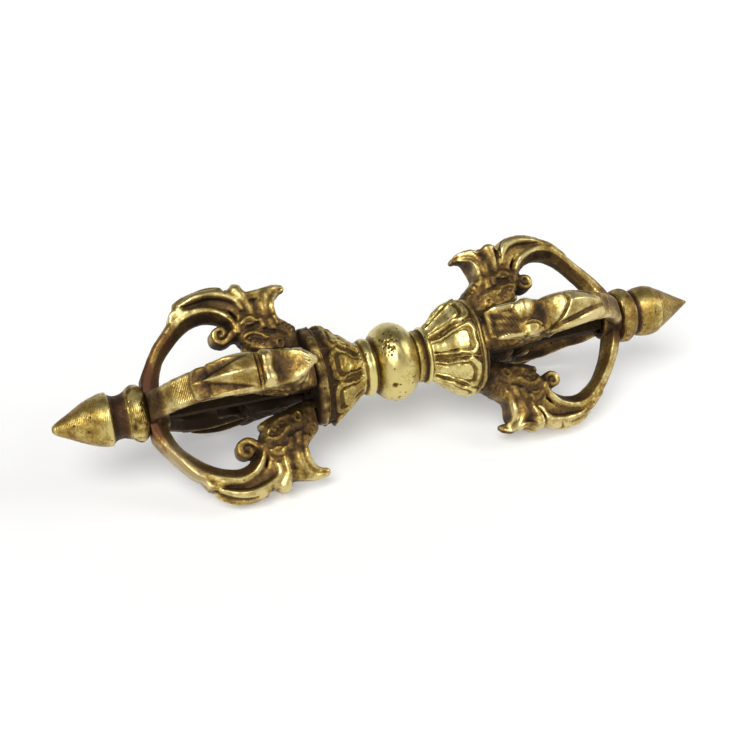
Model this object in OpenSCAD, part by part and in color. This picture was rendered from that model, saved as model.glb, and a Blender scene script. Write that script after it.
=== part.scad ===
// Five-pronged dorje vajra in brass. A round hub sits between two lotus bells. At each end four
// makara prongs arch from a seat behind the lotus to a collar, around a square central prong.
// X runs along the axis, Z is up and the origin is the centre of the hub.

/* [Hub] */
// Diameter of the round hub
hub_d = 16.4; // [15:0.1:18]
// Width of the hub along the axis, between the two rings
hub_w = 9.2; // [8:0.1:10.5]
// Diameter of the hub where it meets a ring
hub_end_d = 12.4; // [11.5:0.1:13]
// Diameter of the beaded ring on each side of the hub
ring_d = 12.2; // [11.4:0.1:13.5]
// Width of the beaded ring
ring_w = 3; // [2.4:0.1:4]

/* [Lotus] */
// Largest diameter of the lotus bell
lotus_d = 21; // [19:0.1:23]
// Diameter of the lotus bell at the ring
lotus_neck_d = 11.4; // [10.5:0.1:12.5]
// Length of the lotus bell
lotus_len = 9.1; // [8:0.1:11]
// Number of petals on each bell
petal_count = 8; // [6:1:10]
// Depth of the carving around each petal
petal_relief = 0.7; // [0.4:0.05:0.9]

/* [Prongs] */
// Width of the band that the prong roots are let into
seat_w = 1.9; // [1.6:0.1:3]
// Length of each cage, from the seat's face to the collar's bead
cage_len = 33; // [30:0.5:38]
// Distance from the axis to the crest of a prong
prong_reach = 22; // [20:0.2:25]
// Width of a prong across its leaves
prong_w = 7.6; // [6.6:0.1:8.4]
// Thickness of the plain part of the arch
arch_t = 2.7; // [2.2:0.1:3.4]
// Height of the axis above the table when the dorje lies on four prongs
rest_h = 17.4; // [17:0.1:17.6]
// Diameter of the tenon at a prong's root
root_d = 3.4; // [2.6:0.1:4]

/* [Tips] */
// Diameter of the collar's bead
collar_d = 12; // [11.2:0.1:13.5]
// Width of the collar's bead
collar_w = 3.6; // [3:0.1:5]
// Diameter of the sleeve that the prong ends are brazed round
sleeve_d = 8.6; // [7.6:0.1:9.4]
// Length of the sleeve inside the cage
sleeve_len = 4; // [3:0.1:5]
// Diameter of the cone at its base
tip_d = 11; // [10:0.1:12.5]
// Diameter of the neck under the cone
neck_d = 8; // [7:0.1:9]
// Length of the tip, from the collar to the point
tip_len = 14.8; // [12:0.1:18]

/* [Spindle] */
// Diameter of the through-rod
core_d = 5.6; // [5:0.1:6.4]
// Width across the filed flats at the seat
core_root_w = 4.9; // [4.4:0.1:5]
// Width across the filed flats at the collar
core_end_w = 4.3; // [4:0.1:4.8]
// Diameter of the tenon that goes into the tip
tenon_d = 3.4; // [2.8:0.1:3.8]
// Depth of the tenon inside the tip
tenon_len = 6; // [4:0.1:7]

/* [Fits] */
// Clearance on each side of a fit
fit = 0.1; // [0.05:0.01:0.15]

/* [Hidden] */

$fn = 64;
polished = "#c9a84a";
worn = "#a98c3c";
dark = "#6e5a34";

// Faces along the axis, from the hub outwards
x_ring = hub_w / 2;
x_lotus = x_ring + ring_w;
x_seat_back = x_lotus + lotus_len;
x_seat = x_seat_back + seat_w;
x_bead = x_seat + cage_len;
x_sleeve = x_bead - sleeve_len;
x_tip = x_bead + collar_w;
x_end = x_tip + tip_len;

seat_d = lotus_d - 0.7;
root_r = 0.36 * lotus_d;
bore_d = core_d + 2 * fit;
tip_bore_d = tenon_d + 2 * fit;

// The prong sections: corners in a ring, and steps from one station to the next
ring_sides = 8;
curve_steps = 2;
// Exponent that squares a section a little, as a filed casting is
squareness = 0.85;

// Turns a shape drawn up Z so that it runs along +X
module along_x(x = 0) {
  translate([x, 0, 0])
    rotate([0, 90, 0])
      children();
}

module left_side() {
  mirror([1, 0, 0])
    children();
}

// A point of a cubic curve through the ends a and d with handles b and c
function bezier(a, b, c, d, t) =
  a * pow(1 - t, 3) + b * 3 * t * pow(1 - t, 2) + c * 3 * t * t * (1 - t) + d * pow(t, 3);

function bezier_run(a, b, c, d, n) = [for (i = [0:n]) bezier(a, b, c, d, i / n)];

// Hub: a revolved arc through the widest point and both ends
module hub_ball() {
  rise = (hub_d - hub_end_d) / 2;
  arc_r = (pow(hub_w / 2, 2) + rise * rise) / (2 * rise);
  color(polished)
    along_x(-hub_w / 2)
      rotate_extrude()
        intersection() {
          translate([hub_d / 2 - arc_r, hub_w / 2])
            circle(r = arc_r);
          translate([bore_d / 2, 0])
            square([hub_d, hub_w]);
        }
}

// Ring: a slim bead beside the hub and a fuller one beside the lotus
module hub_ring() {
  slim_w = 0.42 * ring_w;
  full_w = ring_w - slim_w;
  slim_d = ring_d - 0.4;
  color(worn)
    along_x(x_ring)
      rotate_extrude()
        difference() {
          union() {
            square([(slim_d - slim_w) / 2, ring_w]);
            translate([(slim_d - slim_w) / 2, slim_w / 2])
              circle(d = slim_w);
            translate([(ring_d - full_w) / 2, slim_w + full_w / 2])
              circle(d = full_w);
          }
          square([bore_d / 2, ring_w]);
        }
}

// Core of the bell, which the petals lie on, with a plain rim behind them
module bell_core() {
  neck_r = lotus_neck_d / 2 - petal_relief;
  rim_r = lotus_d / 2 - petal_relief;
  rim_z = 0.9 * lotus_len;
  rotate_extrude()
    polygon([
      [bore_d / 2, 0], [neck_r, 0], [neck_r + 0.2, 0.06 * lotus_len], [0.87 * rim_r, 0.55 * lotus_len],
      [rim_r, 0.8 * lotus_len], [rim_r + 0.3, rim_z], [rim_r + 0.1, lotus_len], [bore_d / 2, lotus_len]
    ]);
}

// A petal's plan: narrow at the ring, wide near the rim, with rounded outer corners.
// Part is the share of the petal's room that the plan fills, and reach is its length.
module petal_plan(part, reach) {
  near = part * (lotus_neck_d / 2) * tan(180 / petal_count);
  wide = part * (lotus_d / 2) * tan(180 / petal_count) * 0.94;
  corner = 0.3 * wide;
  polygon([[-near, 0], [near, 0], [wide, reach - corner], [-wide, reach - corner]]);
  translate([-wide + corner, reach - 2 * corner])
    square([2 * (wide - corner), 2 * corner]);
  for (side = [-1, 1])
    translate([side * (wide - corner), reach - corner])
      circle(r = corner);
}

// A petal lies flat, with its outer face down: a raised border and a raised panel inside it
module petal() {
  border = 0.9;
  moat = 0.68;
  panel = 0.5;
  slant_len = 0.98 * lotus_len;
  sunk = 2 * petal_relief;
  translate([0, 0, -petal_relief])
    linear_extrude(petal_relief + sunk)
      difference() {
        petal_plan(border, slant_len);
        translate([0, -0.01])
          petal_plan(moat, 0.87 * slant_len);
      }
  translate([0, 0, -petal_relief])
    linear_extrude(petal_relief + sunk)
      translate([0, 0.02 * slant_len])
        petal_plan(panel, 0.74 * slant_len);
}

module lotus() {
  neck_r = lotus_neck_d / 2 - petal_relief;
  slope = atan((lotus_d / 2 - petal_relief - neck_r) / (0.8 * lotus_len));
  color(polished)
    along_x(x_lotus)
      union() {
        bell_core();
        for (i = [0:petal_count - 1])
          rotate([0, 0, i * 360 / petal_count])
            translate([0, neck_r, 0.04 * lotus_len])
              rotate([90 - slope, 0, 0])
                petal();
      }
}

// Seat: a rounded band with a through-bore and one socket for each prong root
module prong_seat() {
  edge = 0.5;
  color(dark)
    along_x(x_seat_back)
      difference() {
        union() {
          cylinder(d = seat_d - 2 * edge, h = seat_w);
          translate([0, 0, edge])
            cylinder(d = seat_d, h = seat_w - 2 * edge);
          for (z = [edge, seat_w - edge])
            translate([0, 0, z])
              rotate_extrude()
                translate([seat_d / 2 - edge, 0])
                  circle(r = edge);
        }
        translate([0, 0, -1])
          cylinder(d = bore_d, h = seat_w + 2);
        for (turn = [45:90:315])
          rotate([0, 0, turn])
            translate([root_r, 0, -1])
              cylinder(d = root_d + 2 * fit, h = seat_w + 2);
      }
}

// Prong stations are [along, out, thickness, width]. Along is the share of the cage from seat to
// collar, out is the share of the reach, thickness is in arch thicknesses and width in prong widths.
arch_line = [
  [0.97, 0.12, 1.4, 0.64], [0.94, 0.26, 1.3, 0.66], [0.9, 0.41, 1.05, 0.7], [0.832, 0.55, 1, 0.74],
  [0.75, 0.67, 1.1, 0.8], [0.655, 0.758, 1.15, 0.86], [0.545, 0.79, 1, 0.92], [0.45, 0.742, 0.84, 0.95],
  [0.39, 0.63, 0.74, 0.95], [0.375, 0.53, 0.7, 0.9]
];
leaf_line = [
  [0.285, 0.69, 0.6, 0.86], [0.33, 0.812, 0.75, 0.94], [0.41, 0.92, 0.9, 1], [0.515, 0.956, 0.75, 1],
  [0.61, 0.926, 0.6, 0.95], [0.7, 0.858, 0.36, 0.84]
];
web_line = [
  [0.3, 0.62, 1.2, 0.76], [0.375, 0.77, 1.1, 0.76], [0.48, 0.858, 1.1, 0.76], [0.59, 0.862, 1, 0.74],
  [0.695, 0.8, 0.8, 0.74], [0.77, 0.71, 0.6, 0.68]
];
roll_line = [
  [0.272, 0.66, 0.54, 0.84], [0.282, 0.8, 0.6, 0.9], [0.294, 0.915, 0.95, 0.95], [0.303, 0.976, 0.7, 0.9],
  [0.306, 1.005, 0.26, 0.74]
];
horn_line = [
  [0.14, 0.52, 1.04, 0.86], [0.158, 0.635, 1.18, 0.92], [0.16, 0.736, 1.18, 0.94], [0.133, 0.832, 1.1, 0.92],
  [0.085, 0.886, 0.92, 0.82], [0.04, 0.902, 0.62, 0.62], [0, 0.88, 0.3, 0.32]
];
head_line = [
  [-0.03, 0.336, 2, 0.86], [0.03, 0.36, 2.2, 0.94], [0.105, 0.41, 2.9, 1.02], [0.195, 0.472, 3.25, 1.05],
  [0.285, 0.518, 2.9, 1.02], [0.355, 0.527, 1.9, 0.9], [0.39, 0.52, 1.2, 0.74]
];
jaw_line = [
  [0.2, 0.345, 0.9, 0.74], [0.29, 0.355, 0.9, 0.7], [0.36, 0.345, 0.66, 0.6], [0.386, 0.335, 0.3, 0.42]
];

// Catmull-Rom curve through the stations
function between(a, b, c, d, t) =
  0.5 * (2 * b + (c - a) * t + (2 * a - 5 * b + 4 * c - d) * t * t + (3 * b - a - 3 * c + d) * t * t * t);

function smooth(line, steps) =
  let (last = len(line) - 1)
  concat(
    [
      for (i = [0:last - 1], k = [0:steps - 1])
        between(line[max(i - 1, 0)], line[i], line[i + 1], line[min(i + 2, last)], k / steps)
    ],
    [line[last]]
  );

function side_point(s) = [x_seat + s[0] * cage_len, s[1] * prong_reach];

function signed_power(v) = sign(v) * pow(abs(v), squareness);

// One closed ring of corners around a station, square to the curve
function section(s, tangent) =
  let (
    p = side_point(s),
    normal = [-tangent[1], tangent[0]] / norm(tangent),
    half_t = s[2] * arch_t / 2,
    half_w = s[3] * prong_w / 2
  )
  [
    for (k = [0:ring_sides - 1])
      let (
        turn = 360 * (k + 0.5) / ring_sides,
        across = half_t * signed_power(cos(turn)),
        sideways = half_w * signed_power(sin(turn))
      )
      [p[0] + across * normal[0], sideways, p[1] + across * normal[1]]
  ];

// Loft through all sections of a line, closed by a flat at each end
module strand(line, steps = curve_steps) {
  run = smooth(line, steps);
  last = len(run) - 1;
  n = ring_sides;
  sections = [
    for (i = [0:last])
      section(run[i], side_point(run[min(i + 1, last)]) - side_point(run[max(i - 1, 0)]))
  ];
  walls = [
    for (i = [0:last - 1], k = [0:n - 1], half = [0, 1])
      let (a = i * n + k, b = i * n + (k + 1) % n)
      half == 0 ? [a, b, a + n] : [b, b + n, a + n]
  ];
  caps = [
    [for (k = [0:n - 1]) n - 1 - k],
    [for (k = [0:n - 1]) last * n + k]
  ];
  polyhedron(points = [for (ring = sections, p = ring) p], faces = concat(walls, caps));
}

// The curl at the mouth: a scroll of shrinking rounds laid across the prong
module curl() {
  turns = [-165:37.5:135];
  centre = side_point([0.464, 0.53]);
  grow = prong_reach / 22;
  module round_at(turn) {
    share = (turn - turns[0]) / (turns[2] - turns[0]);
    out = grow * (1.5 - 0.6 * share);
    translate([centre[0] + out * cos(turn), 0, centre[1] + out * sin(turn)])
      rotate([90, 0, 0])
        cylinder(r = grow * (0.9 - 0.3 * share), h = prong_w * (0.8 - 0.1 * share), center = true, $fn = 8);
  }
  for (turn = [turns[0]:turns[1]:turns[2] - turns[1]])
    hull() {
      round_at(turn);
      round_at(turn + turns[1]);
    }
  hull() {
    round_at(turns[0]);
    translate([x_seat + 0.36 * cage_len, 0, 0.5 * prong_reach])
      rotate([90, 0, 0])
        cylinder(r = grow, h = 0.8 * prong_w, center = true, $fn = 8);
  }
}

module eyes() {
  eye = side_point([0.28, 0.6]);
  for (side = [-1, 1])
    translate([eye[0], side * 0.46 * prong_w, eye[1]])
      sphere(d = 0.22 * prong_w, $fn = 6);
}

// Makara prong on the right-hand end, at a turn about the axis
module makara_prong(turn) {
  clear = 3 * prong_reach;
  color(worn)
    intersection() {
      rotate([turn, 0, 0]) {
        difference() {
          union() {
            strand(arch_line);
            strand(leaf_line);
            strand(web_line, 1);
            strand(roll_line, 1);
            strand(horn_line);
            strand(head_line, 1);
            strand(jaw_line, 1);
            curl();
            eyes();
          }
          along_x(x_seat - lotus_len)
            cylinder(d = lotus_d + 2, h = lotus_len, $fn = 32);
          along_x(x_seat)
            cylinder(d = sleeve_d + 4 * fit, h = cage_len, $fn = 32);
          along_x(x_bead)
            cylinder(d = clear, h = tip_len, $fn = 8);
        }
        translate([x_seat_back + fit, 0, root_r])
          along_x()
            cylinder(d = root_d, h = seat_w + 1, $fn = 12);
      }
      translate([x_seat_back, -rest_h, -rest_h])
        cube([cage_len + seat_w, 2 * rest_h, 2 * rest_h]);
    }
}

// Spindle: a round rod through the hub, filed square inside each cage, with a tenon at each end
module core_spindle() {
  bar_len = x_sleeve - x_seat;
  taper = atan((core_root_w - core_end_w) / 2 / bar_len);
  color(dark)
    union() {
      along_x(-x_seat)
        cylinder(d = core_d, h = 2 * x_seat);
      for (end = [0, 1])
        mirror([end, 0, 0]) {
          along_x(x_seat)
            difference() {
              cylinder(d = core_d, h = bar_len);
              for (turn = [45:90:315])
                rotate([0, 0, turn])
                  translate([core_root_w / 2, 0, 0])
                    rotate([0, -taper, 0])
                      translate([0, -core_d, -core_d])
                        cube([core_d, 2 * core_d, bar_len + 2 * core_d]);
            }
          along_x(x_sleeve)
            cylinder(d = tenon_d, h = x_tip - x_sleeve + tenon_len);
        }
    }
}

// Collar: a sleeve inside the cage and a round bead that the prong ends butt against
module collar() {
  flat_r = collar_d / 2 - 0.35;
  color(polished)
    along_x(x_sleeve)
      rotate_extrude()
        difference() {
          union() {
            square([sleeve_d / 2, sleeve_len + collar_w]);
            translate([0, sleeve_len])
              polygon(concat(
                [[0, 0]],
                bezier_run([flat_r, 0], [collar_d / 2 + 0.2, 0.3 * collar_w],
                           [collar_d / 2, 0.66 * collar_w], [neck_d / 2 + 0.9, collar_w], 8),
                [[0, collar_w]]
              ));
          }
          square([tip_bore_d / 2, sleeve_len + collar_w]);
        }
}

// Tip: a waisted neck, a rounded base and a slightly swelled cone with a blunt point
module tip() {
  neck_z = 0.1 * tip_len;
  base_z = 0.3 * tip_len;
  point_r = 0.7;
  base_r = tip_d / 2;
  neck_r = neck_d / 2;
  color(polished)
    along_x(x_tip)
      difference() {
        rotate_extrude()
          polygon(concat(
            [[0, 0]],
            bezier_run([neck_r + 0.7, 0], [neck_r, 0.4 * neck_z], [neck_r, 0.8 * neck_z], [neck_r, neck_z], 4),
            bezier_run([neck_r + 0.2, neck_z + 0.4], [neck_r + 0.6, 0.18 * tip_len],
                       [base_r, 0.2 * tip_len], [base_r, base_z], 7),
            bezier_run([base_r - 0.1, base_z + 0.7], [base_r - 0.8, 0.52 * tip_len],
                       [point_r + 1.6, 0.84 * tip_len], [point_r, tip_len - 0.3], 8),
            [[0, tip_len]]
          ));
        translate([0, 0, -1])
          cylinder(d = tip_bore_d, h = tenon_len + 4 * fit + 1);
      }
}

hub_ball();
left_side() hub_ring();  // left_hub_ring
hub_ring();  // right_hub_ring
left_side() lotus();  // left_lotus
lotus();  // right_lotus
left_side() prong_seat();  // left_prong_seat
prong_seat();  // right_prong_seat
left_side() makara_prong(45);  // left_upper_front_prong
left_side() makara_prong(-45);  // left_upper_back_prong
left_side() makara_prong(135);  // left_lower_front_prong
left_side() makara_prong(225);  // left_lower_back_prong
makara_prong(45);  // right_upper_front_prong
makara_prong(-45);  // right_upper_back_prong
makara_prong(135);  // right_lower_front_prong
makara_prong(225);  // right_lower_back_prong
core_spindle();
left_side() collar();  // left_collar
collar();  // right_collar
left_side() tip();  // left_tip
tip();  // right_tip
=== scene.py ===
import math

import bpy
import numpy as np
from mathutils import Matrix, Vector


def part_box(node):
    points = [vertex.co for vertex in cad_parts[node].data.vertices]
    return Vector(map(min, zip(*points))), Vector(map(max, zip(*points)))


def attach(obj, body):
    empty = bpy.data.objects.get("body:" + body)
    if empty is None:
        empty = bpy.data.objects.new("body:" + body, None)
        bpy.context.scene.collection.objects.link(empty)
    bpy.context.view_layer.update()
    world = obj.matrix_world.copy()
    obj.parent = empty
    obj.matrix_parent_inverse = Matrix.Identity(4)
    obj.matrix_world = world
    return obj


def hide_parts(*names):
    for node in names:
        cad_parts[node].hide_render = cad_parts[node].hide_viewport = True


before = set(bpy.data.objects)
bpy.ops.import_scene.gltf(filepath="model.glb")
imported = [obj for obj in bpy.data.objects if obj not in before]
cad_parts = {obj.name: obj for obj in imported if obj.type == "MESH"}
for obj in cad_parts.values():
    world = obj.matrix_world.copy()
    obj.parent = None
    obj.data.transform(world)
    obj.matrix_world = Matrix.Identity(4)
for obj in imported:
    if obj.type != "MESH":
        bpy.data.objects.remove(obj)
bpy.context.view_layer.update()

import openvdb
from mathutils import Vector

# Dorje vajra, cast and chased in brass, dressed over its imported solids.
# Working sizes are millimetres: x runs along the axis, r out from it, y across a prong.
MM = 0.001
SEED = 41
ENDS = ((1, "right"), (-1, "left"))


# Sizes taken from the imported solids

def span(node, axis):
    """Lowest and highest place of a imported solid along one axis, in mm."""
    low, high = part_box(node)
    return low[axis] / MM, high[axis] / MM


BALL_END = span("hub_ball", 0)[1]
BALL_R = span("hub_ball", 2)[1]
RING_END = span("right_hub_ring", 0)[1]
RING_R = span("right_hub_ring", 1)[1]
LOTUS_END = span("right_lotus", 0)[1]
SEAT_END = span("right_prong_seat", 0)[1]
SEAT_R = span("right_prong_seat", 1)[1]
SLEEVE_START = span("right_collar", 0)[0]
COLLAR_END = span("right_collar", 0)[1]
COLLAR_R = span("right_collar", 1)[1]
BEAD_START = span("right_upper_front_prong", 0)[1]
TIP_END = span("right_tip", 0)[1]
TIP_R = span("right_tip", 1)[1]
REST = span("right_lower_front_prong", 2)[0]
# holes for the inner prong and for its thin end, with the room that they leave round it
ROOM = 0.1
CORE_BORE = span("core_spindle", 1)[1] + ROOM
TENON_END = span("core_spindle", 0)[1] + ROOM
TENON_BORE = 1.8
TABLE = REST * MM


# Small helpers for shapes

def ease(value, low, high):
    """0 below low, 1 above high and a smooth step between."""
    t = np.clip((value - low) / (high - low), 0, 1)
    return t * t * (3 - 2 * t)


def hump(distance, half):
    """A round hump: 1 on its middle line and 0 from half outwards."""
    t = np.clip(np.abs(distance) / half, 0, 1)
    return (1 - t * t) ** 2


def flow(points, step=0.08):
    """A smooth line through the points; further columns are carried along it."""
    p = np.asarray(points, float)
    p = np.vstack([2 * p[0] - p[1], p, 2 * p[-1] - p[-2]])
    rows = []
    for a, b, c, d in zip(p, p[1:], p[2:], p[3:]):
        count = max(2, int(np.hypot(*(c - b)[:2]) / step))
        t = np.linspace(0, 1, count, endpoint=False)[:, None]
        rows.append(0.5 * (2 * b + (c - a) * t + (2 * a - 5 * b + 4 * c - d) * t ** 2
                           + (3 * b - a - 3 * c + d) * t ** 3))
    rows.append(p[-2:-1])
    return np.vstack(rows)


def hand(points, seed, size, reach):
    """A smooth hand-made unevenness at each point: a few long waves of about that reach, in mm."""
    rng = np.random.default_rng(seed)
    total = np.zeros(len(points))
    for _ in range(6):
        way = rng.normal(size=3)
        way *= rng.uniform(0.6, 1.5) / np.linalg.norm(way) * 2 * math.pi / reach
        total += np.sin(points @ way + rng.uniform(0, 2 * math.pi))
    return total * size / math.sqrt(6)


def rounded(a, b):
    """Distance to the corner of two faces."""
    return np.hypot(np.maximum(a, 0), np.maximum(b, 0)) + np.minimum(np.maximum(a, b), 0)


def normals_of(points, faces):
    """Outward direction at each corner point of a mesh of four-sided faces."""
    a, b, c, d = (points[faces[:, k]] for k in range(4))
    face = np.cross(c - a, d - b)
    total = np.zeros_like(points)
    for k in range(4):
        for axis in range(3):
            total[:, axis] += np.bincount(faces[:, k], face[:, axis], len(points))
    return total / np.maximum(np.linalg.norm(total, axis=1, keepdims=True), 1e-12)


def inside_out(points, faces):
    """Whether the faces of a closed mesh look inwards."""
    a, b, c = (points[faces[:, k]] for k in range(3))
    return np.einsum("ij,ij->i", a, np.cross(b, c)).sum() < 0


def make(name, points, faces, marks, finish):
    """A smooth mesh object in metres; marks are named values at its points."""
    mesh = bpy.data.meshes.new(name)
    mesh.from_pydata((np.asarray(points) * MM).tolist(), [], [tuple(f) for f in faces])
    mesh.shade_smooth()
    for key, values in marks.items():
        mesh.attributes.new(key, "FLOAT", "POINT").data.foreach_set(
            "value", np.asarray(values, np.float32))
    mesh.materials.append(finish)
    piece = bpy.data.objects.new(name, mesh)
    bpy.context.scene.collection.objects.link(piece)
    return piece


def hand_over(piece, node):
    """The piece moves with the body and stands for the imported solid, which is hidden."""
    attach(piece, "root")
    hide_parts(node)


# Finishes

def linear(code):
    """An sRGB hex colour as linear light."""
    channels = [int(code[i:i + 2], 16) / 255 for i in (1, 3, 5)]
    return [c / 12.92 if c <= 0.04045 else ((c + 0.055) / 1.055) ** 2.4 for c in channels] + [1.0]


def put(tree, kind, feeds=None, **settings):
    """Adds one node: settings are its properties, feeds its inputs, each a value or a socket."""
    node = tree.nodes.new(kind)
    for key, value in settings.items():
        setattr(node, key, value)
    for key, value in (feeds or {}).items():
        if isinstance(value, bpy.types.NodeSocket):
            tree.links.new(value, node.inputs[key])
        else:
            node.inputs[key].default_value = value
    return node


def per_mm(size):
    """Pattern scale, in turns per metre, of a pattern that repeats about every size mm."""
    return 1 / (size * MM)


def blank_tree(owner):
    """An empty node tree for a material or a world."""
    owner.use_nodes = True
    owner.node_tree.nodes.clear()
    return owner.node_tree


def calc(tree, operation, *values, clamp=False):
    """One step of arithmetic on sockets and numbers."""
    node = put(tree, "ShaderNodeMath", dict(enumerate(values)), operation=operation, use_clamp=clamp)
    return node.outputs[0]


def remap(tree, value, low, high, to_low, to_high):
    """A value moved from one span to another, and held inside it."""
    return put(tree, "ShaderNodeMapRange", {"Value": value, "From Min": low, "From Max": high,
                                            "To Min": to_low, "To Max": to_high}).outputs[0]


def mark(tree, name):
    """A value that the mesh carries at its points."""
    return put(tree, "ShaderNodeAttribute", attribute_name=name).outputs["Fac"]


def noise(tree, place, size, detail, rough):
    """Cloudy noise from 0 to 1, with clouds of about size mm."""
    return put(tree, "ShaderNodeTexNoise", {"Vector": place, "Scale": per_mm(size), "Detail": detail,
                                            "Roughness": rough}).outputs["Fac"]


def colours(tree, value, *stops):
    """Colours along a value: each stop is a place from 0 to 1 and an sRGB hex colour, in rising order."""
    node = put(tree, "ShaderNodeValToRGB", {"Fac": value})
    spots = node.color_ramp.elements
    for spot, (position, code) in zip(spots, (stops[0], stops[-1])):
        spot.position, spot.color = position, linear(code)
    for position, code in stops[1:-1]:
        spots.new(position).color = linear(code)
    return node.outputs["Color"]


def mixed(tree, share, first, second):
    """Two colours, mixed by the share of the second."""
    return put(tree, "ShaderNodeMix", {0: share, 6: first, 7: second}, data_type="RGBA").outputs[2]


def aged_brass(name, tones, sheen, dull, grain, blotch=3.0, pits=0.06, graver=0.0, bias=0.0):
    """Brass that was cast, chased and handled: the highs are rubbed to gold, the hollows keep a brown skin.

    tones are its colours from the highest to the deepest place: rubbed, worn, tarnished and sooty.
    sheen and dull are its roughness there, grain is the depth of the cast skin and blotch the size of its
    clouds in mm, pits the share of casting pits that are open, graver the step of the graver's cuts in mm
    and bias the brown skin that it has all over.
    """
    rubbed, worn, tarnish, soot = tones
    finish = bpy.data.materials.new(name)
    tree = blank_tree(finish)
    place = put(tree, "ShaderNodeTexCoord").outputs["Object"]
    cloud = noise(tree, place, blotch, 5.0, 0.62)
    cast = noise(tree, place, 0.3, 3.0, 0.6)
    fine = calc(tree, "SUBTRACT", noise(tree, place, 0.55, 4.0, 0.7), 0.5)
    skin = calc(tree, "ADD", mark(tree, "patina"), bias)
    skin = calc(tree, "ADD", calc(tree, "SUBTRACT", cloud, 0.5), skin)
    skin = calc(tree, "MULTIPLY_ADD", fine, 0.75, skin, clamp=True)

    # casting pits: small round cells, only some of which are open
    cell = put(tree, "ShaderNodeTexVoronoi", {"Vector": place, "Scale": per_mm(1.1), "Randomness": 1.0})
    chance = put(tree, "ShaderNodeSeparateColor", {"Color": cell.outputs["Color"]}).outputs[0]
    hole = remap(tree, cell.outputs["Distance"], 0.1, 0.26, 1.0, 0.0)
    pit = calc(tree, "MULTIPLY", hole, calc(tree, "LESS_THAN", chance, pits))
    skin = calc(tree, "MULTIPLY_ADD", pit, 0.7, skin, clamp=True)

    # the skin sets the colour, and copper comes through in blotches where it is marked
    tone = colours(tree, skin, (0.08, rubbed), (0.34, worn), (0.6, tarnish), (1.0, soot))
    blush = remap(tree, calc(tree, "MULTIPLY", mark(tree, "copper"), cloud), 0.2, 0.65, 0.0, 0.5)
    colour = mixed(tree, blush, tone, linear("#74482f"))
    rough = calc(tree, "MULTIPLY_ADD", fine, 0.16, remap(tree, skin, 0.1, 0.8, sheen, dull))
    metal = remap(tree, skin, 0.35, 0.85, 1.0, 0.75)

    depth = calc(tree, "MULTIPLY_ADD", skin, 0.95, 0.05)
    relief = calc(tree, "MULTIPLY_ADD", pit, -1.4, calc(tree, "MULTIPLY", cast, depth))
    if graver:
        # cuts of the graver run across a marked place, one every graver mm
        wave = calc(tree, "SINE", calc(tree, "MULTIPLY", mark(tree, "graver_run"), 2 * math.pi / graver))
        wave = calc(tree, "MULTIPLY", wave, mark(tree, "graver"))
        relief = calc(tree, "MULTIPLY_ADD", wave, 0.9, relief)
    bump = put(tree, "ShaderNodeBump", {"Strength": 1.0, "Distance": grain * MM, "Height": relief})
    # the rubbed highs carry a film of wax that whitens their shine
    wax = remap(tree, skin, 0.15, 0.5, 0.25, 0.0)
    surface = put(tree, "ShaderNodeBsdfPrincipled", {
        "Base Color": colour, "Metallic": metal, "Roughness": rough, "Normal": bump.outputs["Normal"],
        "Coat Weight": wax, "Coat Roughness": sheen})
    put(tree, "ShaderNodeOutputMaterial", {"Surface": surface.outputs[0]})
    return finish


# Lost-wax brass of the prongs: gold on the chased ribs and crests, brown skin between them.
CAST_BRASS = aged_brass("lost_wax_brass", ("#d3c184", "#9e8340", "#684f2c", "#302211"),
                        sheen=0.38, dull=0.58, grain=0.08, graver=0.42)
# Burnished brass of the ball: the most handled place, satin gold with open casting pits.
BURNISHED_BRASS = aged_brass("burnished_brass", ("#d6c57f", "#a88d43", "#6b5229", "#302210"),
                             sheen=0.33, dull=0.5, grain=0.05, blotch=4.5, pits=0.16)
# Chased brass of the lotuses: bright petal faces with brown grooves cut between them.
CHASED_BRASS = aged_brass("chased_brass", ("#dacb86", "#a38941", "#654d29", "#3a2913"),
                          sheen=0.36, dull=0.58, grain=0.08)
# Turned brass of the tips and collars: darker gold with a red flush beside the joints.
TURNED_BRASS = aged_brass("turned_brass", ("#d0bd77", "#a0843f", "#6a4f2a", "#342412"),
                          sheen=0.36, dull=0.55, grain=0.06, graver=0.33)
# Tarnished brass of the seats: brown skin that no hand reaches.
TARNISHED_BRASS = aged_brass("tarnished_brass", ("#b0985a", "#7c6537", "#574126", "#2c1f12"),
                             sheen=0.45, dull=0.62, grain=0.1)
# The same brown skin on the inner prong, made darker with painted shade for its place deep in the cage;
# it keeps its imported shape and so carries no marks of its own.
CORE_BRASS_AND_SHADE = aged_brass("core_brass_and_shade", ("#745b30", "#554122", "#3a2c17", "#1f160c"),
                             sheen=0.75, dull=0.88, grain=0.09, bias=0.7)


# Turned pieces

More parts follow.
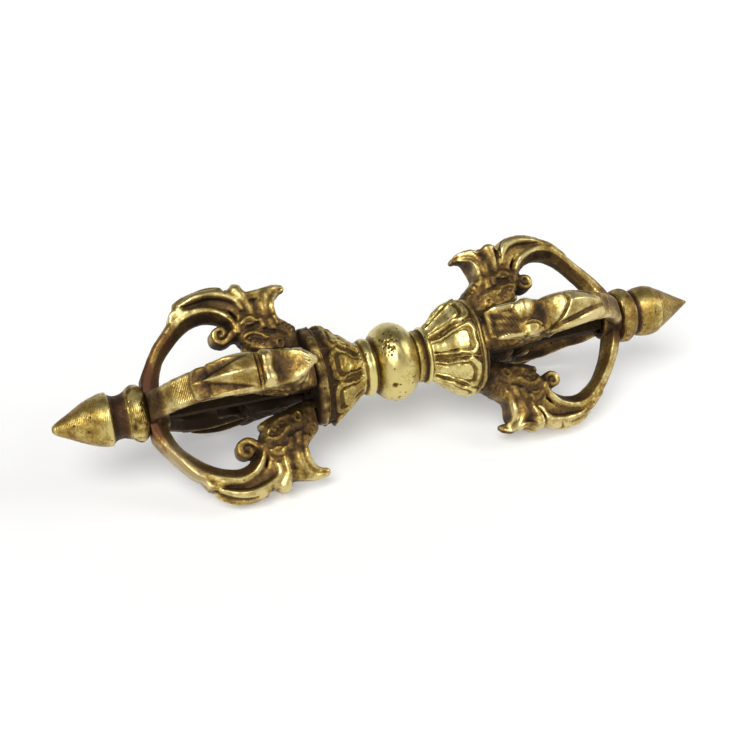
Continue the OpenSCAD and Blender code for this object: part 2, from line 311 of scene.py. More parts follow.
def turned(name, outline, node, finish, around=192, uneven=0.05, copper=None, worn=None, pits=(), stain=0.9,
           seed=0):
    """A piece turned about the axis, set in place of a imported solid.

    The outline is closed, or starts and ends on the axis. copper and worn give the red flush and the extra
    brown skin at its points, pits are its casting pits and stain is how dark these are.
    """
    rim = np.asarray(outline, float)
    capped = rim[0, 1] == 0 and rim[-1, 1] == 0
    body = rim[1:-1] if capped else rim
    rows = len(body)
    angle = np.tile(np.linspace(0, 2 * math.pi, around, endpoint=False), rows)
    r = np.repeat(body[:, 1], around)
    points = np.stack([np.repeat(body[:, 0], around), r * np.cos(angle), r * np.sin(angle)], 1)
    i = np.arange(rows - 1 if capped else rows)[:, None]
    j = np.arange(around)[None, :]
    up, after = (i + 1) % rows, (j + 1) % around
    faces = np.stack([i * around + j, up * around + j, up * around + after, i * around + after], -1)
    faces = faces.reshape(-1, 4)
    fans = []
    if capped:
        first, last = len(points), len(points) + 1
        points = np.vstack([points, [rim[0, 0], 0, 0], [rim[-1, 0], 0, 0]])
        end = (rows - 1) * around
        fans = [(first, k, (k + 1) % around) for k in range(around)]
        fans += [(last, end + (k + 1) % around, end + k) for k in range(around)]
    radial = np.hypot(points[:, 1], points[:, 2])
    outer = ease(radial, CORE_BORE + 0.4, CORE_BORE + 1.2)
    lift = hand(points, SEED + seed, uneven, 7.0) + hand(points, SEED + seed + 50, uneven * 0.4, 2.2)
    dark = np.zeros(len(points))
    open_side = body[body[:, 1] > CORE_BORE + 0.5]
    for pit_x, pit_angle, size, depth in pits:
        pit_r = np.interp(pit_x, *ordered(open_side))
        pit = np.array([pit_x, pit_r * math.cos(pit_angle), pit_r * math.sin(pit_angle)])
        away = np.linalg.norm(points - pit, axis=1)
        lift -= depth * hump(away, size)
        dark = np.maximum(dark, hump(away, size * 1.1))
    scale = 1 + outer * lift / np.maximum(radial, 1)
    hollow = np.zeros(len(points))
    hollow[:rows * around] = np.repeat(hollowness(body), around)
    points[:, 1] *= scale
    points[:, 2] *= scale
    patina = 0.3 + 0.9 * hollow + stain * dark
    if worn is not None:
        patina = patina + worn(points)
    flush = copper(points) if copper is not None else np.zeros(len(points))
    if inside_out(points, faces):
        faces = faces[:, ::-1]
        fans = [f[::-1] for f in fans]
    filed = 0.35 + hand(points, SEED + seed + 70, 0.25, 3.0)
    marks = {"patina": patina, "copper": flush, "graver": np.clip(filed, 0, 1),
             "graver_run": points[:, 0] + hand(points, SEED + seed + 71, 0.12, 2.0)}
    hand_over(make(name, points, list(faces) + fans, marks, finish), node)


def scattered(rng, count, along, sizes, depths, side=1):
    """Casting pits strewn round a turned piece: place along the axis, angle, radius and depth of each."""
    return [(side * rng.uniform(*along), rng.uniform(0, 6.28), rng.uniform(*sizes), rng.uniform(*depths))
            for _ in range(count)]


def ordered(body):
    """Outline places and radii in rising order of x, for reading the radius at a place."""
    order = np.argsort(body[:, 0])
    return body[order, 0], body[order, 1]


def hollowness(body):
    """How far each outline point lies below the line of its neighbours about 1 mm away, from -1 to 1."""
    x, r = body[:, 0], body[:, 1]
    length = np.concatenate([[0], np.cumsum(np.hypot(np.diff(x), np.diff(r)))])
    result = np.zeros(len(body))
    for reach in (0.5, 1.1):
        before = np.interp(length - reach, length, r)
        after = np.interp(length + reach, length, r)
        result += np.clip(((before + after) / 2 - r) / reach * 1.6, -0.5, 1)
    return result / 2


def dense(points, step=0.15):
    """An outline with corners kept, cut into short steps."""
    p = np.asarray(points, float)
    rows = []
    for a, b in zip(p, p[1:]):
        count = max(1, int(np.hypot(*(b - a)) / step))
        rows.append(a + (b - a) * np.linspace(0, 1, count, endpoint=False)[:, None])
    rows.append(p[-1:])
    return np.vstack(rows)


def mirrored(outline, side):
    """The outline for the right end, or turned round for the left end."""
    p = np.array(outline, float)
    p[:, 0] *= side
    return p


def bored(skin, bore):
    """A closed outline: the outer skin and the hole for the inner prong."""
    skin = np.asarray(skin, float)
    first, last = skin[0], skin[-1]
    return np.vstack([dense([(first[0], bore), first], 0.4)[:-1], skin,
                      dense([last, (last[0], bore), (first[0], bore)], 0.4)[1:-1]])


def make_ball():
    """The round hub, with casting pits gathered on one shoulder."""
    waist, shoulder = 4.15, 5.75
    centre = (BALL_R ** 2 - shoulder ** 2 - waist ** 2) / (2 * (BALL_R - shoulder))
    bow = BALL_R - centre
    half = math.atan2(waist, shoulder - centre)
    turn = np.linspace(-half, half, 104)
    skin = np.stack([bow * np.sin(turn), centre + bow * np.cos(turn)], 1)
    cove = flow([(waist + 0.08, 5.5), (waist + 0.25, 5.25), (BALL_END, 5.15)], 0.1)
    skin = np.vstack([cove[::-1] * [-1, 1], skin, cove])
    rng = np.random.default_rng(SEED)
    pits = [(rng.normal(-1.9, 0.9), rng.normal(2.05, 0.2), rng.uniform(0.16, 0.42), rng.uniform(0.1, 0.25))
            for _ in range(34)]
    pits += scattered(rng, 24, (-3.8, 3.8), (0.14, 0.36), (0.06, 0.2))
    pits.append((-1.9, 3.2, 0.85, 0.16))
    turned("burnished_ball", bored(skin, CORE_BORE), "hub_ball", BURNISHED_BRASS, around=256, uneven=0.06,
           pits=[p for p in pits if abs(p[0]) < BALL_END - 0.4],
           worn=lambda p: 0.5 * ease(np.abs(p[:, 0]), BALL_END - 1.0, BALL_END - 0.4) - 0.12, seed=1)


def make_rings(side, word):
    """The beads between ball and lotus: a wide gold one on the left, a brown and a gold one on the right."""
    if side > 0:
        shape = [(0, 5.2), (0.3, 5.4), (0.9, 5.5), (1.5, 5.42), (1.75, 5.36), (1.9, 5.6), (2.15, 5.95),
                 (2.4, RING_R - 0.02), (2.7, 5.9), (2.9, 5.55), (RING_END - BALL_END, 5.35)]
        brown_from, brown_to, rubbed, uneven = BALL_END + 1.95, BALL_END + 1.75, 0.06, 0.05
    else:
        shape = [(0, 5.2), (0.15, 5.45), (0.4, 5.82), (0.9, RING_R - 0.05), (1.5, RING_R - 0.05), (2.0, 5.85),
                 (2.3, 5.5), (2.6, 5.36), (RING_END - BALL_END, 5.4)]
        brown_from, brown_to, rubbed, uneven = BALL_END, BALL_END - 1, -0.07, 0.11
    skin = flow([(BALL_END + at, radius) for at, radius in shape], 0.1)
    skin[:, 0] = np.clip(skin[:, 0], BALL_END, RING_END)
    turned(f"{word}_beads", mirrored(bored(skin, CORE_BORE), side), f"{word}_hub_ring", CHASED_BRASS,
           uneven=uneven, seed=5 + side,
           worn=lambda p: 0.42 * ease(-np.abs(p[:, 0]), -brown_from, -brown_to) - rubbed)


def make_seat(side, word):
    """The dark band that carries the four prongs."""
    if side > 0:
        skin = [(LOTUS_END, 9.3), (LOTUS_END + 0.12, 9.8), (LOTUS_END + 0.5, SEAT_R - 0.03),
                (LOTUS_END + 0.9, SEAT_R - 0.25), (LOTUS_END + 1.2, 9.4), (SEAT_END - 0.2, 9.25),
                (SEAT_END, 8.7)]
    else:
        skin = [(LOTUS_END, 10.1), (LOTUS_END + 0.3, SEAT_R - 0.02), (LOTUS_END + 0.8, SEAT_R - 0.02),
                (SEAT_END - 0.6, SEAT_R - 0.1), (SEAT_END - 0.2, 9.85), (SEAT_END, 9.3)]

    def brown(p):
        """The skin is even on the right; on the left it is blotched, and darkest at the prongs."""
        at = np.abs(p[:, 0])
        if side > 0:
            return 0.24 + 0.25 * ease(at, LOTUS_END + 0.7, LOTUS_END + 1.3)
        return 0.4 + hand(p, SEED + 92, 0.18, 2.4) + 0.3 * ease(at, SEAT_END - 0.9, SEAT_END - 0.3)

    face = dense([(SEAT_END, 8.6), (SEAT_END, CORE_BORE + 0.6)], 0.5)
    outline = bored(np.vstack([flow(skin, 0.12), face]), CORE_BORE)
    turned(f"{word}_seat_band", mirrored(outline, side), f"{word}_prong_seat", TARNISHED_BRASS,
           uneven=0.2 if side > 0 else 0.28, seed=15 + side, worn=brown)


def make_collar(side, word):
    """The sleeve that gathers the prongs, and the round bead outside them."""
    if side > 0:
        bead = [(0, 4.7), (0.35, 5.45), (1.0, 5.85), (1.8, COLLAR_R), (2.7, 5.85), (3.2, 5.6)]
        bead_end, sleeve_brown, tip_red, pit_count = 5.15, 0.42, 2.4, 14
    else:
        bead = [(0.05, 4.6), (0.45, 5.2), (1.05, 5.72), (1.85, COLLAR_R), (2.6, 5.75), (3.15, 5.35)]
        bead_end, sleeve_brown, tip_red, pit_count = 4.95, 0.6, 0.5, 46
    sleeve = [(SLEEVE_START, 3.9), (SLEEVE_START + 0.3, 4.2), (SLEEVE_START + 2, 4.25),
              (BEAD_START - 0.2, 4.3)]
    bead = [(BEAD_START + at, radius) for at, radius in bead]
    skin = flow(sleeve + bead + [(COLLAR_END, bead_end)], 0.12)

    def brown(p):
        """The sleeve is brown; the bead is even on the right and blotched on the left."""
        bead_brown = 0.28 if side > 0 else 0.17 + hand(p, SEED + 90, 0.2, 2.6)
        return sleeve_brown * ease(-np.abs(p[:, 0]), -BEAD_START - 0.5, -BEAD_START + 0.3) + bead_brown

    def red(p):
        """Copper shows where the prongs are brazed on and beside the tip."""
        at = np.abs(p[:, 0])
        return np.maximum(tip_red * hump(at - COLLAR_END + 0.8, 0.9), 0.8 * hump(at - BEAD_START, 1.8))

    pits = scattered(np.random.default_rng(SEED + 7 + side), pit_count, (BEAD_START + 0.3, COLLAR_END - 0.4),
                     (0.4, 1.0), (0.06, 0.24), side)
    turned(f"{word}_bead_collar", mirrored(bored(skin, CORE_BORE), side), f"{word}_collar", TURNED_BRASS,
           uneven=0.12, seed=25 + side, pits=pits, stain=0.3, worn=brown, copper=red)


def make_tip(side, word):
    """The waisted cone at the end: the left one starts at its edge, the right one behind a round drum."""
    start = COLLAR_END
    if side > 0:
        neck = [(0, 5.1), (0.25, 4.75), (0.6, 4.55), (1.0, 4.7), (1.4, 5.0)]
        shoulder = [(1.7, 5.14), (2.6, 5.38), (3.7, TIP_R), (4.9, 5.4), (5.7, 5.2), (6.15, 5.05)]
        cone = [(6.25, 4.84), (6.6, 4.74), (8.4, 3.82), (10.9, 2.42)]
        point = [(1.6, 1.1), (0.5, 0.5), (0.12, 0.28), (0.02, 0.1)]
        step, brown, brown_from, brown_to, dull, red, red_at = 0.12, 0.14, 1.4, 0.7, 0.12, 0.2, 0.6
    else:
        neck = [(0, 4.9), (0.5, 4.65), (1.2, 4.42), (2.0, 4.35), (2.8, 4.5), (3.35, 4.85)]
        shoulder = [(3.5, 5.02), (3.65, 5.3), (3.85, TIP_R - 0.02)]
        cone = [(4.05, TIP_R), (5.4, 5.3), (7.2, 4.68), (9.5, 3.6), (11.7, 2.42)]
        point = [(1.3, 1.5), (0.4, 0.95), (0.08, 0.5), (0.01, 0.2)]
        step, brown, brown_from, brown_to, dull, red, red_at = 0.1, 0.42, 3.9, 3.2, 0.06, 0.7, 1.6
    neck, shoulder, cone = ([(start + at, radius) for at, radius in part] for part in (neck, shoulder, cone))
    cone += [(TIP_END - back, radius) for back, radius in point]
    skin = np.vstack([flow(neck, 0.12), flow(shoulder, step), flow(cone, 0.12)])
    skin[:, 1] = np.minimum(skin[:, 1], TIP_R)
    inside = dense([(TENON_END, 0), (TENON_END, TENON_BORE), (start, TENON_BORE), (start, 4.8)], 0.5)
    pits = scattered(np.random.default_rng(SEED + 17 + side), 10, (start + 0.5, TIP_END - 3), (0.2, 0.45),
                     (0.04, 0.1), side)
    turned(f"{word}_cone_tip", mirrored(np.vstack([inside, skin, [(TIP_END, 0)]]), side), f"{word}_tip",
           TURNED_BRASS, uneven=0.06, seed=35 + side, pits=pits, stain=0.4,
           worn=lambda p: brown * ease(-np.abs(p[:, 0]), -start - brown_from, -start - brown_to) + dull,
           copper=lambda p: red * hump(np.abs(p[:, 0]) - start - red_at, 2.2))


# Lotuses

PETALS = 8


def petal_sector(petal_end, rim):
    """One petal of the lotus with half a valley on each side: places, faces and marks, pointing up."""
    bell = flow([(RING_END, 5.6), (8.2, 5.85), (9.8, 7.0), (11.4, 8.3), (13, 9.5), (14.7, 10.25),
                 (15.6, 10.45), (16.3, (10.4 + rim) / 2 + 0.1), (LOTUS_END, rim)], 0.14)
    bell[:, 0] = np.clip(bell[:, 0], RING_END, LOTUS_END)
    across = 60
    turn = np.linspace(-math.pi / PETALS, math.pi / PETALS, across + 1)
    x = bell[:, :1] + 0 * turn
    r = bell[:, 1:] + 0 * turn
    arc = r * turn
    reach = ease(x, 7.6, 14.5)
    half = 0.85 + 1.1 * reach
    corner = 0.55
    side_out = np.abs(arc) - half + corner
    end_out = x - petal_end + corner
    out = rounded(side_out, end_out) - corner
    end_on = ease(x, petal_end - 1.3, petal_end + 0.3)
    groove = 0.42 + 0.2 * reach + 0.35 * end_on
    border = 0.22 + 0.22 * reach + 0.45 * end_on
    panel = 0.12 * (1 - np.clip(arc / half, -1, 1) ** 2) - 0.1 * ease(x, petal_end - 2.3, petal_end + 0.1)
    cut = -0.5 * ease(out, -0.12, 0.2) + 0.52 * ease(out, groove - 0.22, groove + 0.14)
    valley = -0.6 * ease(out, groove + border - 0.12, groove + border + 0.3)
    spine = 0.26 * hump(np.abs(turn) * r - r * math.pi / PETALS, 0.22) * ease(x, 9, 11)
    height = panel * (out < 0) + cut + valley + spine * (out > groove + border)
    height = height * ease(x, RING_END - 0.2, RING_END + 0.8) * ease(-x, -LOTUS_END, -LOTUS_END + 0.35)
    hollow = ease(-height, 0.12, 0.6)
    # the flat ends and the bore, before and after the petal
    lead = np.array([(RING_END, CORE_BORE), (RING_END, 4.2)])
    tail = np.array([(LOTUS_END, 7.5), (LOTUS_END, 4.5), (LOTUS_END, CORE_BORE),
                     ((RING_END + LOTUS_END) / 2, CORE_BORE)])
    x_all = np.vstack([lead[:, :1] + 0 * turn, x, tail[:, :1] + 0 * turn])
    r_all = np.vstack([lead[:, 1:] + 0 * turn, r + height, tail[:, 1:] + 0 * turn])
    dark = np.vstack([np.ones((len(lead), across + 1)), hollow, np.ones((len(tail), across + 1))])
    count = len(x_all)
    angle = np.broadcast_to(turn, x_all.shape)
    points = np.stack([x_all, r_all * np.sin(angle), r_all * np.cos(angle)], -1).reshape(-1, 3)
    i = np.arange(count)[:, None]
    j = np.arange(across)[None, :]
    nxt = (i + 1) % count
    wide = across + 1
    faces = np.stack([i * wide + j, i * wide + j + 1, nxt * wide + j + 1, nxt * wide + j], -1).reshape(-1, 4)
    return points, faces, dark.reshape(-1)


def petal_ring_tree():
    """Sets one petal sector round the axis as often as the count says, and joins the seams."""
    tree = bpy.data.node_groups.new("petal_ring", "GeometryNodeTree")
    sockets = tree.interface
    sockets.new_socket("Petal", in_out="INPUT", socket_type="NodeSocketGeometry")
    count = sockets.new_socket("Petals", in_out="INPUT", socket_type="NodeSocketInt")
    seam = sockets.new_socket("Seam", in_out="INPUT", socket_type="NodeSocketFloat")
    finish = sockets.new_socket("Finish", in_out="INPUT", socket_type="NodeSocketMaterial")
    sockets.new_socket("Lotus", in_out="OUTPUT", socket_type="NodeSocketGeometry")
    given = put(tree, "NodeGroupInput")
    places = put(tree, "GeometryNodePoints", {"Count": given.outputs["Petals"]})
    index = put(tree, "GeometryNodeInputIndex").outputs[0]
    turn = calc(tree, "MULTIPLY", index, calc(tree, "DIVIDE", 2 * math.pi, given.outputs["Petals"]))
    euler = put(tree, "ShaderNodeCombineXYZ", {"X": turn}).outputs[0]
    rotation = put(tree, "FunctionNodeEulerToRotation", {0: euler}).outputs[0]
    ring = put(tree, "GeometryNodeInstanceOnPoints", {"Points": places.outputs[0], "Rotation": rotation,
                                                      "Instance": given.outputs["Petal"]})
    real = put(tree, "GeometryNodeRealizeInstances", {0: ring.outputs[0]})
    joined = put(tree, "GeometryNodeMergeByDistance", {"Geometry": real.outputs[0],
                                                       "Distance": given.outputs["Seam"]})
    dressed = put(tree, "GeometryNodeSetMaterial", {"Geometry": joined.outputs[0],
                                                    "Material": given.outputs["Finish"]})
    put(tree, "NodeGroupOutput", {0: dressed.outputs[0]})
    return tree, {"count": count.identifier, "seam": seam.identifier, "finish": finish.identifier}


def make_lotus(side, word, tree, keys):
    """Eight petals round the bell, each a little different after the chaser's hand."""
    petal_end, rim, ripple, brown = (14.3, 9.9, 0.045, 0.0) if side > 0 else (13.3, 10.3, 0.085, 0.17)
    points, faces, dark = petal_sector(petal_end, rim)
    blank = make(f"{word}_petal", points, faces, {"hollow": dark}, CHASED_BRASS)
    ring = blank.modifiers.new("petal_ring", "NODES")
    ring.node_group = tree
    ring[keys["count"]] = PETALS
    ring[keys["seam"]] = 0.004 * MM
    ring[keys["finish"]] = CHASED_BRASS
    shaped = bpy.data.meshes.new_from_object(blank.evaluated_get(bpy.context.evaluated_depsgraph_get()))
    blank.modifiers.remove(ring)
    bpy.data.objects.remove(blank)
    p = np.zeros(len(shaped.vertices) * 3)
    shaped.vertices.foreach_get("co", p)
    p = p.reshape(-1, 3) / MM
    dark = np.zeros(len(p), np.float32)
    shaped.attributes["hollow"].data.foreach_get("value", dark)
    quads = np.zeros(len(shaped.polygons) * 4, int)
    shaped.polygons.foreach_get("vertices", quads)
    quads = quads.reshape(-1, 4)
    bpy.data.meshes.remove(shaped)
    radial = np.hypot(p[:, 1], p[:, 2])
    outer = ease(radial, 4.6, 5.4)
    seed = SEED + 60 + 9 * side
    lift = hand(p, seed, 0.1, 6.0) + hand(p, seed + 1, ripple, 1.6)
    rng = np.random.default_rng(seed)
    nicks = np.zeros(len(p))
    for _ in range(60):
        at = p[rng.integers(len(p))]
        nick = hump(np.linalg.norm(p - at, axis=1), rng.uniform(0.18, 0.5)) * rng.uniform(0.3, 1)
        nicks = np.maximum(nicks, nick)
    scale = 1 + outer * (lift - 0.14 * nicks) / np.maximum(radial, 1)
    inner_end = outer * ease(p[:, 0], 8.2, 10)
    lengthwise = hand(p, seed + 2, 0.2, 4.0) * inner_end * ease(-p[:, 0], -16.4, -15.4)
    sideways = hand(p, seed + 3, 0.2, 4.5) + hand(p, seed + 4, 0.07, 1.8)
    sideways = sideways * inner_end / np.maximum(radial, 1)
    p = np.stack([p[:, 0] + lengthwise, scale * (p[:, 1] - p[:, 2] * sideways),
                  scale * (p[:, 2] + p[:, 1] * sideways)], 1)
    if side < 0:
        p[:, 0] *= -1
    edge = ease(p[:, 0], 15.9, LOTUS_END) if side > 0 else 0.6 * ease(-p[:, 0], 14.1, 15.1)
    patina = 0.14 + 0.5 * dark + 0.4 * nicks + 0.4 * edge + brown
    if inside_out(p, quads):
        quads = quads[:, ::-1]
    piece = make(f"{word}_petal_bell", p, quads, {"patina": patina, "copper": 0 * patina}, CHASED_BRASS)
    hand_over(piece, f"{word}_lotus")


# Makara prongs: columns of a strand are x, r, half its thickness and half its width.
# The casts of the two ends differ a little: 1 is the right end and -1 the left one.

# the block of voxels that a prong is modelled in: lowest and highest x and r, and half its width
BLOCK_LOW, BLOCK_HIGH, BLOCK_HALF = np.array([16.6, 1.2]), np.array([53.0, 23.6]), 5.0
# the arch from the collar to the snout; a fifth column says how far its inside is drawn to a keel
ARCH = {1: [(50.5, 2.4, 1.9, 2.5, 0.2), (49.2, 5.7, 1.6, 2.6, 0.3), (47.6, 9.0, 1.35, 2.6, 0.4),
            (45.4, 12.0, 1.35, 2.6, 0.4), (43.0, 14.5, 1.4, 2.65, 0.4), (40.1, 16.4, 1.4, 2.8, 0.5),
            (36.8, 17.2, 1.3, 3.05, 0.7), (33.8, 16.4, 1.15, 3.3, 0.6), (31.7, 14.3, 0.95, 3.25, 0.3),
            (30.7, 12.2, 0.8, 3.1, 0.0)],
        -1: [(50.7, 2.4, 1.95, 3.2, 0.2), (49.9, 5.7, 1.75, 2.85, 0.3), (48.3, 8.9, 1.45, 2.85, 0.4),
             (46.0, 12.1, 1.5, 2.95, 0.4), (43.4, 14.8, 1.6, 3.05, 0.4), (40.2, 16.6, 1.55, 3.2, 0.5),
             (36.8, 17.3, 1.35, 3.3, 0.7), (33.8, 16.4, 1.15, 3.3, 0.6), (31.7, 14.3, 0.95, 3.25, 0.3),
             (30.7, 12.2, 0.8, 3.1, 0.0)]}
# the sunk ground between the ribs of the leaf
WEB = [(28.4, 14.3, 1.6, 2.75), (30.0, 16.9, 1.6, 2.8), (33.0, 18.7, 1.4, 2.75), (36.5, 18.8, 1.3, 2.6),
       (40.0, 17.6, 1.1, 2.45), (43.0, 15.6, 0.9, 2.35)]
LEAF = {1: [(28.6, 16.2, 0.7, 3.1), (29.4, 18.2, 0.95, 3.4), (31.2, 19.7, 1.05, 3.55),
            (33.8, 20.15, 1.0, 3.45), (36.6, 19.6, 0.85, 3.1), (39.0, 18.4, 0.5, 2.7)],
        -1: [(29.0, 16.2, 0.7, 3.1), (30.0, 18.3, 0.95, 3.4), (32.0, 19.9, 1.1, 3.65),
             (35.0, 20.6, 1.05, 3.75), (38.2, 20.2, 0.9, 3.5), (41.0, 19.1, 0.65, 3.1)]}
LEAF_TIP = {1: [(37.6, 17.9, 0.5, 2.8), (39.2, 17.9, 0.65, 2.7), (40.2, 17.5, 0.65, 2.65),
                (41.0, 16.7, 0.45, 2.6)],
            -1: [(39.6, 17.7, 0.5, 3.1), (41.4, 18.0, 0.7, 3.05), (42.6, 17.7, 0.65, 3.0),
                 (43.3, 16.7, 0.5, 2.9)]}
ROLL = {1: [(27.0, 14.6, 0.6, 2.9), (26.7, 16.4, 0.9, 3.3), (25.9, 18.3, 1.35, 3.55),
            (25.5, 19.0, 1.5, 3.55)],
        -1: [(26.8, 14.6, 0.7, 2.9), (27.5, 16.6, 0.95, 3.25), (28.7, 19.2, 1.25, 3.5),
             (29.3, 20.4, 1.3, 3.55)]}
# the sunk ground between the horn and the roll, and the flat leaf that is the crest over it on the left
FAN = {1: [(25.0, 13.0, 1.4, 2.8), (25.0, 15.5, 1.4, 2.8), (24.6, 17.4, 1.6, 2.9)],
       -1: [(25.2, 13.0, 1.7, 2.8), (25.7, 16.0, 1.8, 2.8), (26.3, 17.9, 1.9, 2.9)]}
FLAT = [(21.6, 19.2, 0.9, 1.2), (22.8, 19.3, 1.0, 2.3), (24.5, 19.1, 1.0, 3.0), (26.5, 18.9, 0.95, 3.4),
        (28.0, 18.8, 0.9, 3.4), (30.0, 19.2, 0.8, 3.3), (32.0, 19.6, 0.7, 3.3)]
HORN = {1: [(23.8, 11.8, 1.3, 3.0), (23.8, 14.0, 1.5, 3.35), (23.5, 16.2, 1.6, 3.55), (22.4, 17.9, 1.5, 3.55),
            (20.8, 18.8, 1.3, 3.45), (19.2, 19.1, 1.1, 3.2), (18.2, 18.9, 0.95, 2.7)],
        -1: [(23.6, 11.8, 1.3, 3.0), (23.6, 14.0, 1.5, 3.35), (23.6, 16.2, 1.6, 3.45),
             (22.9, 18.1, 1.5, 2.95), (21.7, 19.2, 1.3, 2.0), (20.7, 19.5, 1.1, 1.2),
             (20.1, 19.5, 0.95, 0.7)]}
HEAD = [(17.6, 7.4, 2.6, 3.0), (19.6, 7.9, 3.0, 3.3), (22.1, 9.0, 3.7, 3.55), (25, 10.4, 4.2, 3.6),
        (28, 11.4, 3.6, 3.45), (30.3, 11.8, 2.4, 3.1), (31.3, 11.8, 1.6, 2.8)]
THROAT = {1: [(18.2, 5.8, 1.75, 2.4), (20.2, 5.7, 1.8, 2.7), (22.6, 6.4, 1.65, 2.7), (25.0, 7.3, 1.1, 2.6)],
          -1: [(18.2, 6.2, 1.7, 2.4), (20.2, 6.1, 1.75, 2.7), (22.6, 6.7, 1.6, 2.7), (25.0, 7.4, 1.1, 2.6)]}
JAW = [(25.2, 7.4, 1.2, 2.8), (27.8, 7.6, 1.1, 2.6), (29.6, 7.9, 0.8, 2.2)]
# middle and radius of the scroll at the end of the trunk
SCROLL = {1: (33.0, 11.1, 2.0), -1: (34.0, 11.8, 2.25)}
# one turn of the scroll: angle in degrees, distance from the middle, half thickness and half width
COIL = [(196, 0.9, 0.4, 2.75), (225, 0.74, 0.37, 2.65), (270, 0.68, 0.33, 2.55), (330, 0.66, 0.32, 2.5),
        (390, 0.65, 0.31, 2.45), (450, 0.58, 0.29, 2.4), (510, 0.42, 0.25, 2.35), (570, 0.22, 0.22, 2.35),
        (620, 0.1, 0.22, 2.4)]
# where the spear on the leaf starts and ends, and where the nape stands clear of the seat
SPEAR = {1: (32.6, 41.2), -1: (31.7, 42.8)}
NAPE = {1: 17.5, -1: 18.95}
# the boss on the crest of the right end: how far behind the roll's end it lies, and where across the prong
BOSS_BACK, BOSS_Y = 0.9, 1.9
# how brown the plain arch, the valley beside the roll and the foot at the collar are, where that valley lies,
# and how deep the graver cut the crest and the arch near the collar
SKIN = {1: {"plain": 0.12, "valley": 0.26, "foot": 0.26, "valley_x": 27.6, "cuts": 1.2, "collar_cuts": 0.0},
        -1: {"plain": 0.2, "valley": 0.38, "foot": 0.5, "valley_x": 26.8, "cuts": 0.7, "collar_cuts": 0.6}}

# modelling of the head on both faces of a prong: the line, half its width and how far it stands out
STROKES = [
    ([(42.6, 14.9), (44.2, 13.5), (46.4, 10.8), (48.4, 7.4)], 0.8, -0.1),
    ([(26.5, 13.2), (27.5, 14.2), (28.7, 14.0), (29.5, 13.1)], 0.65, 0.34),
    ([(27.8, 12.8), (28.3, 12.8)], 0.6, 0.34),
    ([(26.6, 12.2), (28.6, 11.8)], 0.9, -0.25),
    ([(25.4, 9.4), (26.6, 10.5), (28.1, 10.9), (29.4, 10.5), (29.8, 9.6), (29.2, 8.9)], 0.7, 0.34),
    ([(25.0, 6.9), (26.8, 7.3), (28.2, 7.8), (29.2, 8.4)], 0.7, 0.3),
    ([(26.2, 8.5), (27.6, 9.2), (28.6, 9.6)], 0.8, -0.3),
    ([(22.3, 7.0), (22.4, 8.0), (23.0, 8.5), (23.6, 8.0), (23.4, 7.0), (22.8, 6.6), (22.3, 7.0)], 0.4, 0.26),
    ([(19.4, 10.2), (20.3, 11.4), (21.3, 12.5)], 1.0, 0.36),
    ([(19.3, 11.2), (20.1, 10.0)], 0.3, -0.28),
    ([(19.9, 12.0), (20.7, 10.7)], 0.3, -0.28),
    ([(20.7, 12.7), (21.4, 11.5)], 0.3, -0.28),
    ([(22.2, 12.0), (22.6, 13.4)], 0.85, 0.4),
    ([(23.7, 11.0), (23.8, 12.8)], 0.95, 0.5),
    ([(25.3, 11.8), (25.6, 13.4)], 0.8, 0.34),
    ([(23.6, 9.5), (25.0, 9.2)], 1.7, 0.25),
    ([(21.0, 8.9), (22.2, 9.8), (24.0, 10.4), (25.4, 11.0)], 0.5, -0.2),
    ([(29.8, 14.9), (30.3, 13.2), (30.6, 11.4)], 0.5, 0.28),
]
# single teeth between the lips
TEETH = [(26.3, 8.3), (27.1, 8.75), (27.9, 9.2), (28.6, 9.75)]
# ribs along a strand: place across it from -1 to 1, half width and height
HORN_RIBS = [(-0.8, 0.5, 0.14), (-0.25, 0.4, -0.16), (0.45, 0.6, 0.14)]
ROLL_RIBS = [(0.0, 1.0, 0.2)]
LEAF_RIBS = [(-0.1, 1.0, 0.2)]


def trace(line, x, r):
    """For each place: distance to a line, side of it, the line's values there and its nearest point."""
    place = np.stack([x.ravel(), r.ravel()], 1)
    track = line[:, :2]
    best = np.full(len(place), 1e9)
    near = np.zeros(len(place), int)
    for start in range(0, len(track), 64):
        part = track[start:start + 64]
        d2 = ((place[:, None, :] - part[None]) ** 2).sum(2)
        k = d2.argmin(1)
        d = d2[np.arange(len(place)), k]
        closer = d < best
        best[closer] = d[closer]
        near[closer] = k[closer] + start
    way = np.gradient(track, axis=0)[near]
    off = place - track[near]
    side = np.sign(way[:, 0] * off[:, 1] - way[:, 1] * off[:, 0])
    return np.sqrt(best).reshape(x.shape), side.reshape(x.shape), line[near].reshape(x.shape + (-1,)), near


def join(a, b, soft):
    """Two bodies run together with a small soft fillet."""
    h = np.clip(0.5 + 0.5 * (b - a) / soft, 0, 1)
    return b * (1 - h) + a * h - soft * h * (1 - h)


def soften(block, reach):
    """Blurs a block of voxels over about that many voxels each way."""
    for axis in range(3):
        for _ in range(2):
            padded = np.concatenate([np.repeat(block.take([0], axis), reach + 1, axis), block,
                                     np.repeat(block.take([-1], axis), reach, axis)], axis)
            total = np.cumsum(padded, axis)
            count = block.shape[axis]
            width = 2 * reach + 1
            block = (total.take(range(width, width + count), axis) - total.take(range(count), axis)) / width
    return block


def read(block, spot):
    """Values of a block of voxels at places given in voxels."""
    low = np.clip(np.floor(spot).astype(int), 0, np.array(block.shape) - 2)
    t = np.clip(spot - low, 0, 1)
    total = 0
    for corner in range(8):
        step = np.array([corner >> 2 & 1, corner >> 1 & 1, corner & 1])
        share = np.prod(np.where(step, t, 1 - t), axis=1)
        total = total + share * block[tuple((low + step).T)]
    return total


